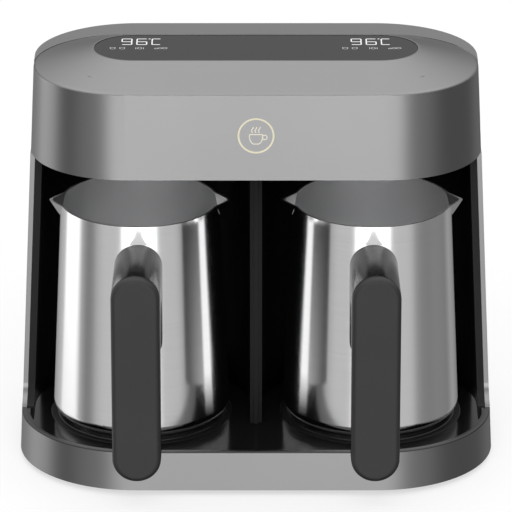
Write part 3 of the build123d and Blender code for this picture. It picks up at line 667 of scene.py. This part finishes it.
def makeSegment(length):
    # flat bar with pointed ends, lying along X
    stroke = readout["stroke"]
    clearSelection()
    bpy.ops.mesh.primitive_plane_add(size=1, location=(0, 0, 0))
    bar = bpy.context.object
    bar.scale = (length - stroke, stroke, 1)
    applyPlace(bar)
    mesh = bar.data
    end = (length - stroke) / 2
    bpy.ops.object.mode_set(mode="EDIT")
    selectWhere(mesh, "EDGE", lambda edge: isAcross(mesh, edge))
    bpy.ops.mesh.subdivide(number_cuts=1)
    for side in (-1, 1):
        tip = Vector((side * end, 0, 0))
        selectWhere(mesh, "VERT", lambda point: (point.co - tip).length < tiny)
        bpy.ops.transform.translate(value=(side * (stroke / 2 - readout["segmentGap"]), 0, 0))
    bpy.ops.mesh.select_all(action="SELECT")
    bpy.ops.mesh.extrude_region_move(TRANSFORM_OT_translate={"value": (0, 0, readout["thickness"])})
    bpy.ops.mesh.select_all(action="SELECT")
    bpy.ops.mesh.normals_make_consistent(inside=False)
    bpy.ops.object.mode_set(mode="OBJECT")
    return bar


def segmentPlaces(width, height):
    # place and turn of each of the seven bars, from the middle of a digit
    x = (width - readout["stroke"]) / 2
    y = (height - readout["stroke"]) / 2
    return {
        "a": (0, y, 0), "g": (0, 0, 0), "d": (0, -y, 0),
        "b": (x, y / 2, pi / 2), "c": (x, -y / 2, pi / 2),
        "e": (-x, -y / 2, pi / 2), "f": (-x, y / 2, pi / 2),
    }


def makeReadout(label):
    low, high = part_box(label + "_display")
    middle = (low + high) / 2
    height, stroke = readout["digitHeight"], readout["stroke"]
    digitWidth, unitWidth = readout["digitWidth"], readout["unitWidth"]
    upright = makeSegment((height - stroke) / 2)
    wide = makeSegment(digitWidth - stroke + readout["segmentGap"])
    unitBar = makeSegment(unitWidth - stroke + readout["segmentGap"])
    dot = makeSegment(readout["degreeWidth"])
    total = 2 * digitWidth + readout["digitGap"] + readout["unitGap"] + unitWidth
    x = middle.x + readout["shift"][label] - total / 2
    unitLeft = x + total - unitWidth
    bars = []
    numbers, unit = readout["digits"]
    for letter in numbers + unit:
        width = unitWidth if letter == unit else digitWidth
        for key, (dx, dy, turn) in segmentPlaces(width, height).items():
            if key in segmentsOf[letter]:
                source = upright if turn else (unitBar if letter == unit else wide)
                place = Matrix.Translation((x + width / 2 + dx, middle.y + dy, markZ))
                bars.append(copyPlaced(source, place @ Matrix.Rotation(turn, 4, "Z")))
        x += width + (readout["unitGap"] if letter == numbers[-1] else readout["digitGap"])
    degreePlace = (unitLeft - readout["unitGap"] / 2, middle.y + (height - stroke) / 2, markZ)
    bars.append(copyPlaced(dot, Matrix.Translation(degreePlace)))
    discard([upright, wide, unitBar, dot])
    joined = joinPieces(bars, label + "Readout")
    joined.data.materials.append(whiteGlow)
    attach(joined, "machine")


for label in ("left", "right"):
    makeReadout(label)
print("read-outs made")


# drawn marks: round lines laid flat

def drawLine(points, width, closed=False, sharp=False):
    # a line through points in the XY plane, made a mesh while it lies at the origin
    clearSelection()
    bpy.ops.curve.primitive_bezier_curve_add(location=(0, 0, 0))
    line = bpy.context.object
    spline = line.data.splines[0]
    spline.bezier_points.add(len(points) - len(spline.bezier_points))
    for bezier, (x, y) in zip(spline.bezier_points, points):
        bezier.co = (x, y, 0)
        bezier.handle_left_type = "VECTOR" if sharp else "AUTO"
        bezier.handle_right_type = "VECTOR" if sharp else "AUTO"
    spline.use_cyclic_u = closed
    line.data.resolution_u = 6
    line.data.bevel_depth = width / 2
    line.data.bevel_resolution = 1
    line.data.use_fill_caps = True
    bpy.ops.object.convert(target="MESH")
    return bpy.context.object


def circlePoints(x, y, radius, count=8):
    turns = [2 * pi * i / count for i in range(count)]
    return [(x + radius * cos(turn), y + radius * sin(turn)) for turn in turns]


cupMark = {
    "line": 0.5 * mm,
    "cupHalf": 3.2 * mm,
    "cupTop": 0.7 * mm,
    "cupBottom": -4.2 * mm,
    "handleRadius": 1.15 * mm,
    "steamLow": 1.6 * mm,
    "steamHigh": 4.6 * mm,
    "steamPitch": 1.7 * mm,
    "steamSway": 0.28,  # share of that pitch
    "raise": 0.35,  # height of a line as a share of its width
    "wallLean": radians(2.64),  # the front wall leans back upwards
}


def cupLines(mark):
    # cup, handle ring and three waves of steam
    half, top, bottom = mark["cupHalf"], mark["cupTop"], mark["cupBottom"]
    width, ring = mark["line"], mark["handleRadius"]
    bowl = [(-half, top), (-half, top * 0.2 + bottom * 0.3), (-half * 0.55, bottom * 0.93), (0, bottom)]
    bowl += [(-x, y) for x, y in reversed(bowl[:-1])]
    lines = [
        drawLine(bowl, width),
        drawLine([(-half, top), (half, top)], width, sharp=True),
        drawLine(circlePoints(half + ring * 0.95, top - ring * 1.3, ring), width, closed=True),
    ]
    rise = mark["steamHigh"] - mark["steamLow"]
    sway = mark["steamPitch"] * mark["steamSway"]
    for i in (-1, 0, 1):
        x = i * mark["steamPitch"]
        steps = (0, 0.25, 0.5, 0.75, 1)
        wave = [(x - sway * sin(1.5 * pi * t), mark["steamLow"] + rise * t) for t in steps]
        lines.append(drawLine(wave, width))
    return lines


goldGlow = makeGlow("markGlow", dim=(0.66, 0.62, 0.50), bright=(0.78, 0.74, 0.62))
ringLow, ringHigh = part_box("icon_ring")
ringMiddle = (ringLow + ringHigh) / 2
wallY = ringLow.y + sin(cupMark["wallLean"]) * (ringHigh.z - ringLow.z) / 2
frontPlace = (
    Matrix.Translation((ringMiddle.x, wallY, ringMiddle.z))
    @ Matrix.Rotation(pi / 2 - cupMark["wallLean"], 4, "X")
    @ Matrix.Diagonal((1, 1, cupMark["raise"], 1))
)
cup = joinPieces(cupLines(cupMark), "cupMark")
cup.data.transform(frontPlace)
cup.data.materials.append(goldGlow)
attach(cup, "machine")
print("cup mark made")


# touch keys: small marks on the glass under each read-out

keyMarks = {
    "y": -0.6 * mm,  # from the middle of the glass
    "line": 0.42 * mm,
    "size": 1.25 * mm,
    "raise": 0.2,  # height of a line as a share of its width
    "left": (-69.3 * mm, -58.2 * mm, -47.9 * mm),
    "right": (47.0 * mm, 58.7 * mm, 69.1 * mm),
}
keyGlow = makeGlow("keyGlow", dim=(0.42, 0.42, 0.42), bright=(0.52, 0.52, 0.52))


def smallCups(size, line):
    # two small cups side by side
    lines = []
    for x in (-1.9 * size, 1.9 * size):
        bowl = [(-1, 1), (-0.8, -0.6), (0, -1), (0.8, -0.6), (1, 1)]
        lines.append(drawLine([(x + size * dx, size * y) for dx, y in bowl], line))
        lines.append(drawLine([(x - size, size), (x + size, size)], line, sharp=True))
    return lines


def smallDrop(size, line):
    # a drop between two short bars
    drop = [(0, 1.3 * size), (0.75 * size, -0.2 * size), (0, -size), (-0.75 * size, -0.2 * size)]
    lines = [drawLine(drop, line, closed=True)]
    for side in (-1, 1):
        lines.append(drawLine([(side * 1.5 * size, -size), (side * 1.5 * size, size)], line, sharp=True))
    return lines


def smallBubbles(size, line):
    # three bubbles, growing
    places = ((-1.7, -0.3, 0.55), (-0.1, 0.1, 0.75), (1.8, 0.2, 0.9))
    return [drawLine(circlePoints(x * size, y * size, r * size), line, closed=True) for x, y, r in places]


for label in ("left", "right"):
    pieces = []
    for draw, x in zip((smallCups, smallDrop, smallBubbles), keyMarks[label]):
        place = Matrix.Translation((x, glassMiddle.y + keyMarks["y"], markZ))
        for line in draw(keyMarks["size"], keyMarks["line"]):
            line.data.transform(place @ Matrix.Diagonal((1, 1, keyMarks["raise"], 1)))
            pieces.append(line)
    keys = joinPieces(pieces, label + "Keys")
    keys.data.materials.append(keyGlow)
    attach(keys, "machine")
print("key marks made")


# screws with a cross recess, in place of the plain ones

crossScrew = {
    "recessLength": 3.4 * mm,
    "recessWidth": 0.8 * mm,
    "recessDepth": 0.6 * mm,
    "headHeight": 0.95 * mm,
    "headRadius": 3.0 * mm,
    "shankRadius": 1.5 * mm,
    "dome": 0.35 * mm,
}


def makeCrossScrew(length):
    # head down at z 0, shank up
    height, radius = crossScrew["headHeight"], crossScrew["headRadius"]
    clearSelection()
    bpy.ops.mesh.primitive_cylinder_add(vertices=32, radius=radius, depth=height, location=(0, 0, height / 2))
    screw = bpy.context.object
    applyPlace(screw)
    bpy.ops.object.mode_set(mode="EDIT")
    selectWhere(screw.data, "FACE", lambda face: face.normal.z > 0.9)
    bpy.ops.mesh.inset(thickness=radius - crossScrew["shankRadius"])
    bpy.ops.mesh.extrude_region_move(TRANSFORM_OT_translate={"value": (0, 0, length - height)})
    selectWhere(screw.data, "FACE", lambda face: face.normal.z < -0.9)
    bpy.ops.mesh.bevel(offset=crossScrew["dome"], segments=3, affect="EDGES")
    bpy.ops.object.mode_set(mode="OBJECT")
    for turn in (0, pi / 2):
        clearSelection()
        bpy.ops.mesh.primitive_cube_add(size=1, location=(0, 0, 0), rotation=(0, 0, turn))
        cutter = bpy.context.object
        cutter.scale = (crossScrew["recessLength"], crossScrew["recessWidth"], 2 * crossScrew["recessDepth"])
        applyPlace(cutter)
        makeActive(screw)
        cut = screw.modifiers.new("recess", "BOOLEAN")
        cut.operation = "DIFFERENCE"
        cut.solver = "EXACT"
        cut.object = cutter
        bpy.ops.object.modifier_apply(modifier=cut.name)
        discard([cutter])
    return screw


def replaceScrews(nodeName, name):
    # one copy for each screw that the node holds
    low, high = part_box(nodeName)
    screw = makeCrossScrew(high.z - low.z)
    radius = crossScrew["headRadius"]
    copies = []
    for x in (low.x + radius, high.x - radius):
        for y in (low.y + radius, high.y - radius):
            copies.append(copyPlaced(screw, Matrix.Translation((x, y, low.z))))
    discard([screw])
    screws = joinPieces(copies, name)
    screws.data.materials.append(finishes["screw_steel"])
    bpy.ops.object.shade_smooth_by_angle(angle=radians(35))
    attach(screws, "machine")
    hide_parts(nodeName)


replaceScrews("base_screws", "baseScrewSet")
replaceScrews("head_screws", "headScrewSet")
print("screws made")


# floor, light and camera

floorLook = {"size": 6.0, "tone": 0.80, "seenTone": 0.42, "ownLight": 0.64}


def makeFloor():
    clearSelection()
    bpy.ops.mesh.primitive_plane_add(size=floorLook["size"], location=(0, 0, 0))
    floor = bpy.context.object
    floor.name = "floor"
    floor.visible_glossy = False
    material, tree, out = startBareMaterial("paleFloor")
    matte = setInputs(tree, addNode(tree, "ShaderNodeBsdfDiffuse"), Color=asColour(floorLook["tone"]))
    seen = setInputs(tree, addNode(tree, "ShaderNodeBsdfDiffuse"), Color=asColour(floorLook["seenTone"]))
    white = setInputs(tree, addNode(tree, "ShaderNodeEmission"), Strength=floorLook["ownLight"])
    lit = addNode(tree, "ShaderNodeAddShader")
    tree.links.new(seen.outputs[0], lit.inputs[0])
    tree.links.new(white.outputs[0], lit.inputs[1])
    path = addNode(tree, "ShaderNodeLightPath")
    mixed = addShaderMix(tree, path.outputs["Is Camera Ray"], matte.outputs[0], lit.outputs[0])
    tree.links.new(mixed, out.inputs["Surface"])
    floor.data.materials.append(material)


makeFloor()

firstReflection = 1.0  # a glossy ray's depth there, one more at each later reflection

# a fade gives two heights of the direction looked in, and the brightness at each
studio = {
    "soft": 0.78,  # even light on matt surfaces
    # brightness of the panels round the table, by degrees from the front, right is positive
    "panels": {
        -180: 0.22, -160: 0.34, -143: 0.52, -131: 0.64, -124: 1.8, -98: 1.8, -90: 0.50,
        -78: 0.245, -70: 0.285, -60: 0.54, -50: 0.65, -27: 0.64, -17.5: 3.35,
        18: 3.35, 27: 0.64, 50: 0.63, 56: 0.58, 64: 0.36, 72: 0.28, 84: 0.255,
        96: 0.275, 112: 0.265, 122: 0.24, 137: 0.40, 150: 0.32, 165: 0.20, 180: 0.22,
    },
    "frontFade": (-0.34, -0.24, 1.06, 3.35),  # the front panel is dimmer low down
    "lowFade": (-0.85, -0.5, 0.03, 1.0),  # darker straight down
    "overhead": (0.2, 0.85, 0.42, 1.95),
    "overheadFrom": (0.0, 0.25),  # heights over which the panels give way to it
    "overheadDeep": (0.45, 0.56, 1.0, 2.0),  # times this where one shiny face shows another
}


def addBackground(tree, colour, strength=1.0):
    background = addNode(tree, "ShaderNodeBackground")
    return setInputs(tree, background, Color=colour, Strength=strength).outputs[0]


def makeStudioWorld():
    world = bpy.context.scene.world or bpy.data.worlds.new("studio")
    bpy.context.scene.world = world
    world.use_nodes = True
    tree = world.node_tree
    tree.nodes.clear()
    out = addNode(tree, "ShaderNodeOutputWorld")
    direction = addNode(tree, "ShaderNodeTexCoord")
    path = addNode(tree, "ShaderNodeLightPath").outputs
    axes = splitAxes(tree, direction.outputs["Generated"])
    z = axes["Z"]
    around = addMath(tree, "ARCTAN2", axes["X"], addMath(tree, "MULTIPLY", axes["Y"], -1.0))
    ramp = addNode(tree, "ShaderNodeValToRGB")
    tree.links.new(addMapped(tree, around, -pi, pi), ramp.inputs["Fac"])
    stops = ramp.color_ramp.elements
    for angle, level in studio["panels"].items():
        if abs(angle) < 180:
            stop = stops.new((angle + 180) / 360)
        else:
            stop = stops[0] if angle < 0 else stops[-1]
        stop.color = asColour(level)
    panels = addMath(tree, "MINIMUM", ramp.outputs["Color"], addMapped(tree, z, *studio["frontFade"]))
    panels = addMath(tree, "MULTIPLY", panels, addMapped(tree, z, *studio["lowFade"], smooth=True))
    steep = addMapped(tree, z, *studio["overheadDeep"])
    deep = addMapped(tree, path["Glossy Depth"], firstReflection, firstReflection + 1, 1.0, steep)
    overhead = addMath(tree, "MULTIPLY", addMapped(tree, z, *studio["overhead"]), deep)
    height = addMapped(tree, z, *studio["overheadFrom"], smooth=True)
    reflected = addBackground(tree, addMix(tree, "RGBA", height, panels, overhead))
    soft = addBackground(tree, asColour(1.0), studio["soft"])
    lit = addShaderMix(tree, path["Is Glossy Ray"], soft, reflected)
    straight = addMath(tree, "MAXIMUM", path["Is Camera Ray"], path["Is Transmission Ray"])
    seen = addShaderMix(tree, straight, lit, addBackground(tree, asColour(1.0)))
    tree.links.new(seen, out.inputs["Surface"])


makeStudioWorld()


def stageCards(corners, name, look):
    # flat cards that only a first reflection meets, each through four corners,
    # given as low left, low right, high left, high right
    cards = []
    for places in corners:
        clearSelection()
        bpy.ops.mesh.primitive_plane_add(size=1, location=(0, 0, 0))
        for vertex, place in zip(bpy.context.object.data.vertices, places):
            vertex.co = place
        cards.append(bpy.context.object)
    joined = joinPieces(cards, name)
    for kind in ("camera", "diffuse", "transmission", "volume_scatter", "shadow"):
        setattr(joined, "visible_" + kind, False)
    material, tree, out = startBareMaterial(name)
    axes = splitAxes(tree, addNode(tree, "ShaderNodeTexCoord").outputs["Object"])
    level = look["level"]
    for axis, fade in look.get("fades", {}).items():
        level = addMath(tree, "MULTIPLY", level, addMapped(tree, axes[axis], *fade))
    lit = setInputs(tree, addNode(tree, "ShaderNodeEmission"), Strength=level)
    clear = addNode(tree, "ShaderNodeBsdfTransparent")
    path = addNode(tree, "ShaderNodeLightPath")
    later = addMath(tree, "GREATER_THAN", path.outputs["Glossy Depth"], firstReflection + 0.5)
    tree.links.new(addShaderMix(tree, later, lit.outputs[0], clear.outputs[0]), out.inputs["Surface"])
    joined.data.materials.append(material)


blackCards = {
    "level": 0.001,
    "side": 114.0 * mm,
    "back": 70.0 * mm,
    "low": -90.0 * mm,
    "high": 160.0 * mm,
    "ribFront": 4.0 * mm,
    "ceilingFront": -28.0 * mm,
    "ceilingFrontSide": 86.0 * mm,
    "trayZ": 8.0 * mm,
    "trayFront": -33.0 * mm,
    "traySide": 105.0 * mm,
}


def makeBlackCards():
    # dark sheets behind, between, above and under the pots, seen only in first reflections: painted dark
    # reflections in place of the bays, the head's underside and the tray
    side, back, low, high = (blackCards[key] for key in ("side", "back", "low", "high"))
    front, frontSide, rib = (blackCards[key] for key in ("ceilingFront", "ceilingFrontSide", "ribFront"))
    trayFront, traySide, trayZ = (blackCards[key] for key in ("trayFront", "traySide", "trayZ"))
    corners = [
        [(x, back, z) for z in (low, high) for x in (-side, side)],
        [(0, y, z) for z in (low, high) for y in (rib, back)],
        [(x, y, trayZ) for y in (trayFront, back) for x in (-traySide, traySide)],
        [(-frontSide, front, high), (frontSide, front, high), (-side, back, high), (side, back, high)],
    ]
    stageCards(corners, "blackCards", blackCards)


makeBlackCards()

neckSheen = {
    "level": 0.84,
    "near": 5.0 * mm,  # half widths
    "far": 2.4 * mm,
    "nearY": -22.7 * mm,
    "farY": -43.6 * mm,
    "nearZ": 119.0 * mm,
    "farZ": 121.4 * mm,
}


def makeNeckSheen():
    # glowing card along the top of each neck, seen only in first reflections: a painted reflection of the
    # neck's sheen in the pots
    ends = [[neckSheen[end + axis] for axis in ("", "Y", "Z")] for end in ("near", "far")]
    corners = []
    for label in ("left", "right"):
        low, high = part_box(label + "_pot_base_disc")
        x = (low.x + high.x) / 2
        corners.append([(x + side * half, y, z) for half, y, z in ends for side in (-1, 1)])
    stageCards(corners, "neckSheen", neckSheen)


makeNeckSheen()

# slim upright glowing cards between the pots, seen only in first reflections, as painted reflections: the
# grey flag for the other pot's handle and its bright side, the lit strip for a bright band at the front of
# the rib; front, back and height of each end, and fades from where to where with the level at each
greyFlag = {
    "level": 1.0,
    "low": (-38.5 * mm, -10.0 * mm, 30.0 * mm),
    "high": (-34.0 * mm, -6.5 * mm, 118.0 * mm),
    "fades": {"Y": (-31.0 * mm, -10.0 * mm, 0.054, 0.20), "Z": (30.0 * mm, 118.0 * mm, 2.4, 0.65)},
}
litStrip = {
    "level": 1.0,
    "low": (-10.5 * mm, 0.5 * mm, 14.0 * mm),
    "high": (-6.5 * mm, 2.8 * mm, 118.0 * mm),
    "fades": {"Z": (16.0 * mm, 36.0 * mm, 0.1, 1.25)},
}
for name, card in (("greyFlag", greyFlag), ("litStrip", litStrip)):
    corners = [(0, y, end[2]) for end in (card["low"], card["high"]) for y in end[:2]]
    stageCards([corners], name, card)

softbox = {"place": (0.0, -1.5, 1.6), "aim": (0.0, 0.0, 0.10), "size": 1.4, "power": 14.0}
view = {
    "place": (0.0, -2.1605, 0.9385),
    "aim": (0.0, 0.0047, 0.103),
    "lens": 321.9,
    "sensor": 36.0,
    "clip": (0.05, 50.0),
}


def lookAt(place, aim):
    return (Vector(aim) - Vector(place)).to_track_quat("-Z", "Y").to_euler()


def makeSoftbox():
    clearSelection()
    turn = lookAt(softbox["place"], softbox["aim"])
    bpy.ops.object.light_add(type="AREA", location=softbox["place"], rotation=turn)
    lamp = bpy.context.object
    lamp.name = "softbox"
    lamp.data.shape = "SQUARE"
    lamp.data.size = softbox["size"]
    lamp.data.energy = softbox["power"]
    lamp.visible_glossy = False


def makeCamera():
    clearSelection()
    bpy.ops.object.camera_add(location=view["place"], rotation=lookAt(view["place"], view["aim"]))
    camera = bpy.context.object
    camera.name = "viewCamera"
    camera.data.lens = view["lens"]
    camera.data.sensor_width = view["sensor"]
    camera.data.clip_start, camera.data.clip_end = view["clip"]
    bpy.context.scene.camera = camera


makeSoftbox()
makeCamera()
bpy.context.scene.view_settings.view_transform = "Standard"
print("floor, light and camera set")

clearSelection()
